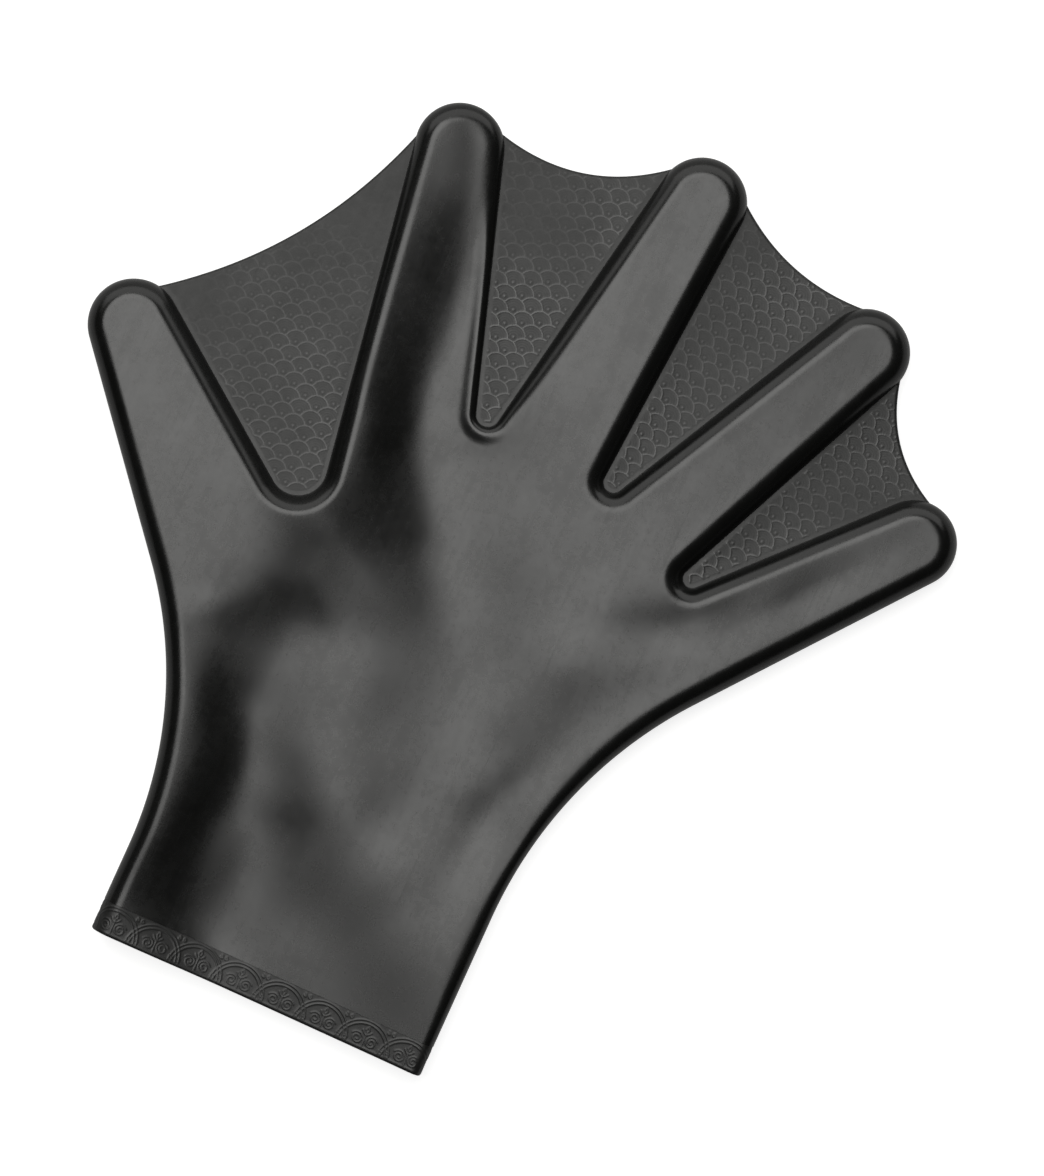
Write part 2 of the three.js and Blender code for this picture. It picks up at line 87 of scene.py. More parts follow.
# Soft steps where the upper wall drops towards the right of a path that runs away from the cuff. Each place
# gives x, y, the step's width and how far the drop lasts beyond it, as shares of the finger reach, and the
# drop as a share of the thickness.
STEPS_DOWN = {
    "thumb side": (
        (-0.076, -0.313, 0.094, 0.342, 0.326),
        (-0.152, -0.226, 0.123, 0.347, 0.352),
        (-0.167, -0.108, 0.07, 0.311, 0.273),
        (-0.164, -0.011, 0.093, 0.136, 0.352),
        (-0.181, 0.041, 0.091, 0.339, 0.314),
        (-0.211, 0.086, 0.064, 0.36, 0.216),
        (-0.248, 0.16, 0.118, 0.355, 0.171),
        (-0.263, 0.196, 0.125, 0.341, 0.119),
        (-0.299, 0.234, 0.196, 0.337, 0.073),
        (-0.348, 0.353, 0.184, 0.285, 0.013),
        (-0.304, 0.456, 0.114, 0.237, 0),
    ),
    "index": (
        (-0.267, 0.165, 0.102, 0.056, 0),
        (-0.248, 0.177, 0.065, 0.12, 0),
        (-0.175, 0.257, 0.154, 0.095, 0.127),
        (-0.163, 0.27, 0.09, 0.158, 0.065),
        (-0.073, 0.314, 0.2, 0.329, 0.104),
        (-0.054, 0.384, 0.193, 0.171, 0.407),
        (-0.073, 0.427, 0.176, 0.141, 0.42),
        (-0.124, 0.487, 0.096, 0.22, 0.363),
        (-0.132, 0.503, 0.067, 0.235, 0.311),
        (-0.153, 0.584, 0.122, 0.144, 0.397),
        (-0.162, 0.68, 0.165, 0.151, 0.389),
        (-0.171, 0.755, 0.169, 0.163, 0.355),
        (-0.187, 0.819, 0.144, 0.156, 0.262),
        (-0.192, 0.882, 0.159, 0.133, 0.185),
        (-0.22, 0.945, 0.078, 0.079, 0.095),
    ),
    "little side": (
        (0.22, -0.316, 0.124, 0.127, 0.079),
        (0.233, -0.151, 0.115, 0.151, 0.115),
        (0.235, -0.038, 0.146, 0.103, 0.234),
        (0.209, 0.059, 0.126, 0.134, 0.285),
        (0.21, 0.121, 0.113, 0.178, 0.229),
        (0.228, 0.158, 0.104, 0.15, 0.206),
        (0.255, 0.197, 0.094, 0.119, 0.177),
        (0.279, 0.229, 0.104, 0.074, 0.175),
        (0.3, 0.269, 0.112, 0.071, 0.149),
        (0.344, 0.336, 0.11, 0.05, 0.146),
        (0.373, 0.38, 0.103, 0.066, 0.118),
        (0.45, 0.458, 0.164, 0.11, 0.094),
        (0.456, 0.535, 0.14, 0.085, 0.068),
    ),
}

# How a soft step is drawn: the reach over which the path's values are averaged, a share of the finger
# reach, how steeply the step falls and the power of the weights. DENT_FALL is how fast a trough fades, and
# SHOULDER_FADE the power of the height factor by which both fade down the shoulder.
STEP_FORM = {"soft": 0.03, "fall": 2.2, "power": 5}
DENT_FALL = 0.9
SHOULDER_FADE = 3

# The sag beside the raised edge: where it sets in and how far it lasts, as shares of the shoulder's width,
# and how much of it is left far from the edge.
SAG_FORM = {"onset": 0.42, "lasts": 1.3, "far": 0.35}

# How much of a step's drop the stiff rim holds up, and how far in, as a share of the shoulder's width.
RIM_HOLD = {"little side": 0.6}
RIM_REACH = 1.5

# Shallow troughs, or swellings where depth is below zero: x, y, length and width as shares of the finger
# reach, turn in degrees, and depth as a share of the thickness.
DENTS = (
    (0.365, 0.448, 0.166, 0.059, 48.7, 0.0237),
    (0.272, 0.403, 0.16, 0.071, 65.1, 0.0341),
    (0.086, 0.051, 0.242, 0.083, -18, -0.011),
    (0.066, -0.041, 0.268, 0.097, 22, 0.0375),
    (0.124, -0.088, 0.232, 0.115, 35.4, 0.0275),
    (-0.141, 0.169, 0.153, 0.077, 9.6, 0.0172),
    (-0.04, 0.103, 0.224, 0.138, -4.3, -0.0743),
    (0.138, 0.152, 0.297, 0.19, 6.5, 0.08),
    (0.203, 0.315, 0.242, 0.091, 18.4, -0.052),
    (-0.206, 0.327, 0.26, 0.138, 4, -0.0723),
    (-0.044, -0.162, 0.246, 0.107, 0.7, 0.0427),
    (-0.063, -0.062, 0.214, 0.109, -0.8, 0.0482),
    (0.172, 0.122, 0.173, 0.056, 43.8, -0.0082),
    (0.037, 0.413, 0.234, 0.149, 77, -0.0323),
    (0.192, -0.097, 0.36, 0.252, 23.1, 0.054),
)

# How finely each surface is cut. side, waist, tip, crotch and wrist are points along the outline, rings
# are rows up each shoulder, cuff is points across the cuff and grid is the spacing inside a plateau.
SKIN = {"wrist": 24, "waist": 70, "side": 64, "tip": 40, "crotch": 26, "rings": 12, "cuff": 60, "grid": 1.7e-3}
LINING = {"wrist": 6, "waist": 16, "side": 12, "tip": 14, "crotch": 8, "rings": 12, "cuff": 60, "grid": 6e-3}
LIP_STEPS = 6
EDGE_STEPS = 3
GRID_CLEAR = 0.6

# Half of the gap in metres between the hand and the band, and how many distances are worked out at once.
HALF_GAP = 0.03e-3
DISTANCE_BLOCK = 4_000_000
STEP_BLOCK = 10000

# Rows of points on each plateau beside the shoulder, as shares of the shoulder's width.
PLATEAU_ROWS = (0.09, 0.2, 0.32, 0.46, 0.62, 0.8, 1.02)

# Spacing in metres of the points inside a web's upper and lower face, that of its outline's points and the
# clear margin inside the outline as shares of it, and how far a web stays inside a stall's side, a share of
# the wall.
WEB_CELL = {"upper": 0.25e-3, "lower": 0.36e-3}
WEB_LOOP = {"step": 1.6, "clear": 0.7, "bite": 0.3}

# The webs' faces, lengths in metres: height and length of a faint wave and how far from the stalls it sets
# in; how worn the scales are at the crotch, over patches and at most; the ramps of the scales at the margin
# and at the free edge; and the gloss of the smooth margin.
WEB_WAVE = {"height": 0.2e-3, "length": 0.045, "onset": 8e-3}
WEB_WEAR = {"start": 1.05, "power": 0.8, "patches": 0.7, "length": 0.035, "least": 0.05}
WEB_RAMP = {"margin": 0.4e-3, "free": 0.35e-3, "free_ramp": 0.3e-3}
# The smooth margin's gloss also makes its colour paler, a painted highlight.
WEB_GLOSS = {"start": 0.45, "fade": 0.5, "most": 0.4}
WAVE_SEED = {"wave": 31, "wear": 11}

# The scale pattern of the webs, in metres: spacing in a row and between rows, radius of a scale, half width
# of its rim, of the fine arcs and of the bead, spacing of the fine arcs, height and smooth margin.
SCALE = {"pitch": 4.28e-3, "row": 3.35e-3, "radius": 3.1e-3, "rim": 0.24e-3, "fine": 0.16e-3, "bead": 0.33e-3,
         "spacing": 0.6e-3, "height": 0.08e-3, "margin": 1.3e-3}
FINE_ARCS = (1, 2, 3)
FINE_HEIGHT = 0.35

# The band's ornament: cells round the cuff, points for each cell and up the band, rows inside it, and in
# metres the line's half width and height, x of one cell's middle and how far the lower lip swells out.
BAND = {"cells": 17, "across": 64, "up": 44, "inner": 4, "line": 0.23e-3, "height": 0.095e-3,
        "phase": 8.9e-3, "lip": 0.45e-3}

# Where the ornament fades at the band's lower and upper edge, as shares of its height, and the low border:
# half width in metres, place in half widths and height.
BAND_EDGE = {"low": 0.05, "high": 0.06}
BORDER = {"width": 0.3e-3, "place": 1.2, "height": 0.6}

# Half width and height in millimetres of the two lines of an arch, the gain and width of strong and fine
# lines, and the share of a spiral's radius that is lost at its inner end.
ARCH_LINES = ((7.05, 7.15), (6.2, 6.3))
LINE_GAINS = ((1.0, 1.0), (0.85, 0.9))
SPIRAL_SHRINK = 0.78

# Points of the cuff's cross-section over a shoulder and over a plateau.
SECTION = {"shoulder": 200, "flat": 1400}

# Edges steeper than this are shaded as sharp.
SHARP_FROM = math.radians(60)

# Noises of the silicone. turn is in degrees, low and high are spread to 0 and 1, and smudge, gloss and
# height are each noise's share in the smudges, the roughness and the height.
NOISE_COLUMNS = "scale detail rough turn stretch warp low high smudge gloss height".split()
NOISES = {
    "cloud": (75, 6, 0.55, 0, 1, 0.4, 0.15, 0.85, 0.35, 0, 0.6),
    "streak": (130, 5, 0.65, 38, 0.25, 0.3, 0.15, 0.85, 0.2, 0, 0.35),
    "felt": (430, 4, 0.7, 0, 1, 0, 0.15, 0.85, 0.3, 0, 0.06),
    "brushed": (520, 3, 0.6, -24, 0.1, 0, 0.2, 0.8, 0.15, 0, 0),
    "scratch": (900, 2, 0.5, 52, 0.03, 0, 0.62, 0.8, 0, 0.03, -0.02),
    "grain": (1100, 1, 0.5, 0, 1, 0, 0, 1, 0, 0.04, 0),
}

# Sockets of the silicone's node group, how much the smudges roughen, and how much the relief mask makes the
# colour paler: a painted highlight on raised scales, ornament and the webs' smooth margin.
GROUP_SOCKETS = {
    "INPUT": ("Colour", "Bloom", "Smudge", "Roughness", "Relief", "Polish"),
    "OUTPUT": ("Colour", "Roughness", "Height"),
}
COLOUR_SOCKETS = ("Colour", "Bloom")
SMUDGE_GLOSS = 0.5
RELIEF_PAINTED_HIGHLIGHT = 0.5

# The silicone's finish, one for each colour of GloveColours. bump is the strength of the noises' height,
# and polish how much smoother the raised places are.
FINISHES = {
    "skin": {"smudge": 0.5, "roughness": 0.12, "bump": 0.1, "polish": 0},
    "web": {"smudge": 0.4, "roughness": 0.37, "bump": 0.12, "polish": 0.28},
    "band": {"smudge": 0.4, "roughness": 0.325, "bump": 0.12, "polish": 0.1},
}
# How much paler the second colour is: it serves both the random smudges and the painted highlight on the
# relief.
BLOOM_AND_HIGHLIGHT_GAIN = 3
BUMP_DISTANCE = 0.00015
SILICONE_IOR = 1.45

# The camera looks straight down, turned by PHOTO_ROLL degrees. Lengths are in metres, the lens and sensor
# in millimetres.
PHOTO_ROLL = 24.4
LOOK_AT = (21.0e-3, 69.8e-3)
FIELD_HEIGHT = 0.290
LENS = 180.0
SENSOR = 36.0

# The lights in metres and watts, placed towards the picture's top and right from the point looked at.
LIGHTS = (
    {"name": "overhead_softbox", "up": 0.55, "side": -0.31, "height": 2.4, "aims_down": True,
     "size": (1.5, 1.5), "power": 36},
    {"name": "far_panel", "up": 1.75, "side": 0.05, "height": 1.02, "aims_down": False,
     "size": (5.0, 1.9), "power": 44},
)
LIGHT_COLOUR = (1.0, 0.995, 0.975)
WORLD_STRENGTH = 0.02
FLOOR = {"reach": 4.0, "roughness": 0.9, "glow": 0.8}


def length_property(name, description, default):
    """A length in metres."""
    return bpy.props.FloatProperty(name=name, description=description, default=default, unit="LENGTH")


def colour_property(name, description, default):
    """A colour."""
    return bpy.props.FloatVectorProperty(
        name=name, description=description, default=default, subtype="COLOR", size=3
    )


class GloveSizes(bpy.types.PropertyGroup):
    """Main sizes of the glove."""

    reach: length_property("Finger reach", "From the fan point to the middle finger's tip centre", 0.177)
    stall: length_property("Stall width", "Width of a stall across its tip", 0.022)
    palm: length_property("Palm depth", "From the fan point to the cuff's edge", 0.0493)
    cuff: length_property("Cuff width", "Width of the cuff lying flat", 0.0886)
    cuff_offset: length_property("Cuff offset", "How far the cuff lies to the little finger's side", 0.0034)
    thickness: length_property("Thickness", "Height of the glove lying flat", 0.013)
    shoulder: length_property("Shoulder", "Width of the rounded edge", 0.00485)
    wall: length_property("Wall", "Thickness of the silicone wall", 0.0015)
    web: length_property("Web thickness", "Thickness of the webs", 0.0013)
    band: length_property("Band height", "Height of the band round the cuff", 0.0075)
    sag: length_property("Sag", "How far the upper wall sags between its edges", 0.00004)


class GloveColours(bpy.types.PropertyGroup):
    """Colours of the silicone and of the floor."""

    skin: colour_property("Skin", "Black silicone of the hand", (0.003, 0.0031, 0.0029))
    web: colour_property("Web", "Silicone of the webs", (0.006, 0.0062, 0.0058))
    band: colour_property("Band", "Silicone of the cuff band", (0.005, 0.0051, 0.0049))
    floor: colour_property("Floor", "Pale floor", (0.45, 0.45, 0.45))


def heading(degrees):
    """Unit vector of a direction in degrees from +Y towards +X."""
    angle = math.radians(degrees)
    return np.array([math.sin(angle), math.cos(angle)])


def right_of(d):
    """The direction a quarter turn clockwise from d."""
    return np.array([d[1], -d[0]])


def cross(a, b):
    """The third component of the cross product of two plan vectors."""
    return a[..., 0] * b[..., 1] - a[..., 1] * b[..., 0]


def stall_side(sizes, index, hand, inset):
    """One side line of a stall, moved inwards by inset: its start at the tip circle, its direction towards
    the tip, its outward direction, the tip's centre and radius. hand is -1 on the thumb's side."""
    finger = FINGERS[index]
    taper = finger["tapers"][0 if hand < 0 else 1]
    out = right_of(heading(finger["turn"] - hand * taper)) * hand
    along = heading(finger["turn"] - hand * taper)
    tip = heading(finger["turn"]) * finger["reach"] * sizes.reach
    radius = sizes.stall * finger["width"] / 2 - inset
    return tip + out * radius, along, out, tip, radius


def arc(centre, radius, start, end, count):
    """count + 1 points of a circle's arc between two angles."""
    t = np.linspace(start, end, count + 1)
    return centre + radius * np.stack([np.cos(t), np.sin(t)], -1)


def fillet(p, d, q, e, radius, count):
    """Arc of a radius tangent to the line arriving at p along d and to the line leaving q along e."""
    corner = p + d * cross(q - p, e) / cross(d, e)
    turn = math.atan2(cross(d, e), d @ e)
    first = corner - d * radius * math.tan(abs(turn) / 2)
    centre = first - right_of(d) * math.copysign(radius, turn)
    start = math.atan2(*(first - centre)[::-1])
    return arc(centre, radius, start, start + turn, count)


def between(p, q, count):
    """count - 1 points evenly spaced between two points, without the ends."""
    t = np.linspace(0, 1, count + 1)[1:-1, None]
    return p + (q - p) * t


def outline(sizes, inset, cuff_y, cut):
    """The glove's plan outline moved inwards by inset, without its webs: an open line of straight sides,
    tip arcs and fillets from the thumb's corner of the cuff round the stalls to the other corner. The
    number of points is the same for every inset."""
    left = np.array([sizes.cuff_offset - sizes.cuff / 2 + inset, cuff_y])
    right = np.array([sizes.cuff_offset + sizes.cuff / 2 - inset, cuff_y])
    parts = [left[None]]
    start, along = left, np.array([0.0, 1.0])
    bend, steps, curve_steps = WAIST["thumb"] * sizes.reach + inset, cut["wrist"], cut["waist"]
    for index, finger in enumerate(FINGERS):
        near, near_along, out, tip, radius = stall_side(sizes, index, -1, inset)
        far, far_along = stall_side(sizes, index, 1, inset)[:2]
        curve = fillet(start, along, near, near_along, bend, curve_steps)
        begin = math.atan2(out[1], out[0])
        sweep = math.pi - math.radians(sum(finger["tapers"]))
        parts += [between(start, curve[0], steps), curve, between(curve[-1], near, cut["side"])]
        parts.append(arc(tip, radius, begin, begin - sweep, cut["tip"]))
        start, along, steps, curve_steps = far, -far_along, cut["side"], cut["crotch"]
        share = WEBS[index]["crotch"] * sizes.stall if index < len(WEBS) else WAIST["little"] * sizes.reach
        bend = share + inset
    curve = fillet(start, along, right, np.array([0.0, -1.0]), bend, cut["waist"])
    parts += [between(start, curve[0], cut["side"]), curve]
    parts += [between(curve[-1], right, cut["wrist"]), right[None]]
    return np.concatenate(parts)


def distance_to(points, line, closed=False):
    """Distance of each point to a polyline: the least distance to its segments, with the foot of the
    perpendicular held between each segment's ends. Done in blocks so that the arrays stay small."""
    a = line if closed else line[:-1]
    b = np.roll(line, -1, 0) if closed else line[1:]
    d = b - a
    length = np.maximum((d * d).sum(-1), 1e-18)
    best = np.empty(len(points))
    for block in np.array_split(np.arange(len(points)), max(1, len(points) * len(a) // DISTANCE_BLOCK)):
        r = points[block, None] - a[None]
        t = np.clip((r * d).sum(-1) / length, 0, 1)
        best[block] = np.sqrt(((r - d * t[..., None]) ** 2).sum(-1).min(-1))
    return best


def inside(points, loop):
    """Whether each point lies inside a closed loop, by counting the edges crossed to its right."""
    found = np.zeros(len(points), bool)
    for a, b in zip(loop, np.roll(loop, -1, 0)):
        if a[1] != b[1]:
            crosses = (a[1] > points[:, 1]) != (b[1] > points[:, 1])
            found ^= crosses & (points[:, 0] < (b[0] - a[0]) * (points[:, 1] - a[1]) / (b[1] - a[1]) + a[0])
    return found


def lattice(loop, pitch, clear, axis=(0.0, 1.0)):
    """Points of a triangular lattice inside a loop, at least clear away from it, with rows square to axis."""
    axis = np.array(axis)
    turn = np.stack([right_of(axis), axis], -1)
    local = loop @ turn
    low, high = local.min(0), local.max(0)
    rows = np.arange(low[1], high[1], pitch * math.sqrt(0.75))
    columns = np.arange(low[0], high[0], pitch)
    x = columns[None] + (np.arange(len(rows))[:, None] % 2) * pitch / 2
    grid = np.stack([x, np.broadcast_to(rows[:, None], x.shape)], -1).reshape(-1, 2) @ turn.T
    grid = grid[inside(grid, loop)]
    return grid[distance_to(grid, loop, True) > clear]


def filled(loop, inner):
    """Triangles that fill a closed loop through its inner points, as rows of indices into loop and then
    inner: the constrained Delaunay triangulation of both."""
    points = np.concatenate([loop, inner])
    result = delaunay_2d_cdt(points.tolist(), [], [list(range(len(loop)))], 1, 1e-9)
    origin = np.fromiter(itertools.chain.from_iterable(o[:1] for o in result[3]), int)
    triangles = origin[np.array(result[2])]
    a, b, c = (points[triangles[:, k]] for k in range(3))
    flipped = cross(b - a, c - a) < 0
    triangles[flipped] = triangles[flipped][:, ::-1]
    return triangles


def smooth_path(places, steps=8):
    """A Catmull-Rom curve through rows of values, with steps points between each two rows."""
    rows = np.array([places[0], *places, places[-1]], float)
    a, b, c, d = rows[:-3, None], rows[1:-2, None], rows[2:-1, None], rows[3:, None]
    t = np.linspace(0, 1, steps, endpoint=False)[None, :, None]
    curve = b + 0.5 * t * (c - a + t * (2 * a - 5 * b + 4 * c - d + t * (3 * (b - c) + d - a)))
    return np.concatenate([curve.reshape(-1, rows.shape[1]), rows[-1:]])


def step_depth(sizes, p, places):
    """Depth of one step: half of 1 + tanh(fall s / width), times a bell that lets the drop fade beyond the
    step. s, the distance to the right of the path, and the path's other values are averages over the
    whole path, weighted by the fifth power of one over the squared distance, so that no crease appears."""
    path = smooth_path(places) * ([sizes.reach] * 4 + [sizes.thickness])
    along = np.gradient(path[:, :2], axis=0)
    along /= np.linalg.norm(along, axis=1, keepdims=True)
    soft = (STEP_FORM["soft"] * sizes.reach) ** 2
    depth = np.empty(len(p))
    for block in np.array_split(np.arange(len(p)), max(1, len(p) // STEP_BLOCK)):
        r = p[block, None] - path[None, :, :2]
        gap = (r * r).sum(-1) + soft
        weight = (gap.min(-1, keepdims=True) / gap) ** STEP_FORM["power"]
        weight /= weight.sum(-1, keepdims=True)
        s = (weight * cross(r, along)).sum(-1)
        width, reach, drop = (weight @ path[:, 2:]).T
        fade = np.exp(-((np.maximum(s, 0) / reach) ** 2))
        depth[block] = drop * fade * (1 + np.tanh(STEP_FORM["fall"] * s / width)) / 2
    return depth


def edge_sag(sizes, edge):
    """Sag of the upper wall beside its raised edge, deepest near the edge and a third as deep far from it."""
    onset = 1 - np.exp(-((edge / (sizes.shoulder * SAG_FORM["onset"])) ** 2))
    near = np.exp(-edge / (sizes.shoulder * SAG_FORM["lasts"]))
    return sizes.sag * onset * (SAG_FORM["far"] + (1 - SAG_FORM["far"]) * near)


def dent_depth(sizes, p, edge):
    """How far the upper wall lies below its full height: the sag beside the shoulders, the soft steps less
    what the rim holds up, and a sum of troughs exp(-fall (u^4 + v^2)), u along and v across each one."""
    shape = p.shape[:-1]
    p = p.reshape(-1, 2)
    depth = edge_sag(sizes, np.ravel(edge))
    rim = np.exp(-((np.ravel(edge) / (sizes.shoulder * RIM_REACH)) ** 2))
    for x, y, length, width, turn, drop in DENTS:
        along = heading(turn)
        r = p - np.array([x, y]) * sizes.reach
        u = (r @ along) / (length * sizes.reach / 2)
        v = cross(along, r) / (width * sizes.reach / 2)
        depth = depth + drop * sizes.thickness * np.exp(-DENT_FALL * (u**4 + v * v))
    for name, places in STEPS_DOWN.items():
        depth = depth + step_depth(sizes, p, places) * (1 - RIM_HOLD.get(name, 0) * rim)
    return depth.reshape(shape)


def form(sizes, inset, cuff_y, cut):
    """Half of the glove's wall: the surface at inset from the outside, open at the cuff. Rows run round
    the shoulders, where the plan inset grows as one minus the cosine and the height as the sine of an
    angle from -90 to 90 degrees, and both plateaus are filled. Returns vertices, triangles and the loop of
    vertices at the cuff."""
    half = sizes.thickness / 2
    height = half - inset
    angles = np.linspace(-math.pi / 2, math.pi / 2, cut["rings"] * 2 + 1)
    edges = [(-1.0, edge * sizes.shoulder) for edge in reversed(PLATEAU_ROWS)]
    edges += [(math.sin(angle), (inset - sizes.shoulder) * math.cos(angle)) for angle in angles]
    edges += [(1.0, edge * sizes.shoulder) for edge in PLATEAU_ROWS]
    rows = []
    for rise, edge in edges:
        plan = outline(sizes, sizes.shoulder + edge, cuff_y, cut)
        dent = dent_depth(sizes, plan, np.full(len(plan), max(edge, 0.0))) * max(0.0, rise) ** SHOULDER_FADE
        rows.append(np.column_stack([plan, half + height * rise - dent]))
    count = len(rows[0])
    grid = np.arange(len(rows) * count).reshape(len(rows), count)
    a, b, c, d = grid[:-1, :-1], grid[:-1, 1:], grid[1:, 1:], grid[1:, :-1]
    sides = np.concatenate([np.stack([a, c, b], -1).reshape(-1, 3), np.stack([a, d, c], -1).reshape(-1, 3)])

    margin = rows[-1][:, :2]
    cuff_line = between(margin[-1], margin[0], cut["cuff"])
    loop = np.concatenate([margin, cuff_line])
    inner = lattice(loop, cut["grid"], cut["grid"] * GRID_CLEAR)
    fill = filled(loop, inner)
    extra = np.concatenate([cuff_line, inner])
    edge = distance_to(extra, outline(sizes, sizes.shoulder, cuff_y, cut))
    top_z = half + height - dent_depth(sizes, extra, edge)
    low_z = np.full(len(extra), half - height)
    vertices = np.concatenate(rows + [np.column_stack([extra, top_z]), np.column_stack([extra, low_z])])
    top_start = len(rows) * count
    low_start = top_start + len(extra)
    to_top = np.concatenate([grid[-1], np.arange(top_start, low_start)])
    to_low = np.concatenate([grid[0], np.arange(low_start, low_start + len(extra))])
    triangles = np.concatenate([sides, to_top[fill], to_low[fill][:, ::-1]])
    cuff_top = np.arange(top_start, top_start + len(cuff_line))
    cuff_low = np.arange(low_start, low_start + len(cuff_line))
    mouth = np.concatenate([grid[:, 0], cuff_top[::-1], grid[::-1, -1], cuff_low])
    return vertices, triangles, mouth


def lip(outer, inner, y, radius, steps):
    """Rows of points over a rounded lip between two loops at the cuff: the place goes from the outer to the
    inner loop as half a cosine wave while y swells out by half a sine wave of the lip's radius."""
    t = np.linspace(0, 1, steps + 1)[1:-1, None]
    blend = (1 - np.cos(math.pi * t[..., None])) / 2
    rows = outer[None] * (1 - blend) + inner[None] * blend
    rows[..., 1] = y - radius * np.sin(math.pi * t)
    return rows


def strip(loops):
    """Triangles between closed loops of vertex numbers that follow one another."""
    a, b = loops[:-1], loops[1:]
    a2, b2 = np.roll(a, -1, 1), np.roll(b, -1, 1)
    return np.concatenate([np.stack([a, a2, b2], -1).reshape(-1, 3), np.stack([a, b2, b], -1).reshape(-1, 3)])


def volume(vertices, triangles):
    """Signed volume inside a closed mesh."""
    a, b, c = (vertices[triangles[:, k]] for k in range(3))
    return float(np.einsum("ij,ij->i", a, np.cross(b, c)).sum() / 6)


def piece(name, vertices, triangles, material, nodes, mask=None):
    """A smooth mesh object that replaces CAD nodes, with an optional point attribute."""
    if volume(vertices, triangles) < 0:
        triangles = triangles[:, ::-1]
    mesh = bpy.data.meshes.new(name)
    mesh.vertices.add(len(vertices))
    mesh.vertices.foreach_set("co", vertices.astype(np.float32).ravel())
    mesh.loops.add(triangles.size)
    mesh.loops.foreach_set("vertex_index", triangles.astype(np.int32).ravel())
    mesh.polygons.add(len(triangles))
    mesh.polygons.foreach_set("loop_start", np.arange(0, triangles.size, 3, dtype=np.int32))
    mesh.update(calc_edges=True)
    mesh.shade_smooth()
    mesh.set_sharp_from_angle(angle=SHARP_FROM)
    if mask is not None:
        attribute = mesh.attributes.new("relief", "FLOAT", "POINT")
        attribute.data.foreach_set("value", mask.astype(np.float32))
    mesh.materials.append(material)
    obj = bpy.data.objects.new(name, mesh)
    bpy.context.scene.collection.objects.link(obj)
    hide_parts(*nodes)
    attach(obj, "root")


def section(sizes, inset):
    """The closed cross-section of the glove's wall at the cuff, as fine points: plan x, height factor
    from -1 to 1 and distance from the plateau's edge."""
    left = sizes.cuff_offset - sizes.cuff / 2 + inset
    right = sizes.cuff_offset + sizes.cuff / 2 - inset
    width = sizes.shoulder - inset
    angles = np.linspace(-math.pi / 2, math.pi / 2, SECTION["shoulder"])
    shoulder_x = width * (1 - np.cos(angles))
    flat = np.linspace(left + width, right - width, SECTION["flat"])[1:-1]
    edge = np.minimum(flat - left - width, right - width - flat)
    x = np.concatenate([left + shoulder_x, flat, (right - shoulder_x)[::-1], flat[::-1]])
    ones = np.ones(len(flat))
    rise = np.concatenate([np.sin(angles), ones, np.sin(angles)[::-1], -ones])
    near = np.concatenate([angles * 0, edge, angles * 0, edge[::-1]])
    return x, rise, near


def section_surface(sizes, inset, x, rise, near, y):
    """Points of the wall at inset for arrays of section places and heights y, with the same shoulders,
    sag and dents as the hand."""
    half = sizes.thickness / 2
    plan = np.stack([x, y], -1)
    dent = dent_depth(sizes, plan, near) * np.maximum(rise, 0) ** SHOULDER_FADE
    return np.stack([x, y, half + (half - inset) * rise - dent], -1)


def scale_relief(p):
    """Height from 0 to 1 of overlapping scales at places p in the pattern's own frame, y away from the
    crotch. The centres lie in rows half a pitch apart. Of the circles that hold a point, those of the row
    nearest the crotch are on top, and in a row the one furthest left. It shows its rim, fine arcs inside
    the rim and a bead at its centre: each is exp(-(d / half width)^2) of the distance d to its line."""
    pitch, row, radius = SCALE["pitch"], SCALE["row"], SCALE["radius"]
    x, y = p[..., 0], p[..., 1]
    found = np.zeros(x.shape, bool)
    distance = np.full(x.shape, radius * 2)
    first = np.ceil((y - radius) / row)
    for k in (first, first + 1):
        rise = y - k * row
        reach = np.sqrt(np.maximum(radius**2 - rise**2, 0))
        shift = (k % 2) / 2
        column = np.ceil((x - reach) / pitch - shift)
        d = np.hypot(x - (column + shift) * pitch, rise)
        take = ~found & (d < radius)
        distance = np.where(take, d, distance)
        found |= take
    inner = radius - SCALE["rim"]
    rim = np.exp(-(((inner - distance) / SCALE["rim"]) ** 2))
    arcs = (inner - n * SCALE["spacing"] - distance for n in FINE_ARCS)
    fine = sum(np.exp(-((arc_gap / SCALE["fine"]) ** 2)) for arc_gap in arcs)
    bead = np.exp(-((distance / SCALE["bead"]) ** 2))
    return np.maximum(rim, np.maximum(fine * FINE_HEIGHT, bead)) * found


def waves(p, seed, length):
    """Smooth noise between 0 and 1 from seven plane waves of about one length in scattered directions."""
    rng = np.random.default_rng(seed)
    total = np.zeros(p.shape[:-1])
    for _ in range(7):
        angle, phase, stretch = rng.uniform(0, 2 * math.pi), rng.uniform(0, 2 * math.pi), rng.uniform(0.7, 1.5)
        k = np.array([math.cos(angle), math.sin(angle)]) * 2 * math.pi / (length * stretch)
        total += np.sin(p @ k + phase)
    return 0.5 + 0.5 * np.clip(total / 3.5, -1, 1)


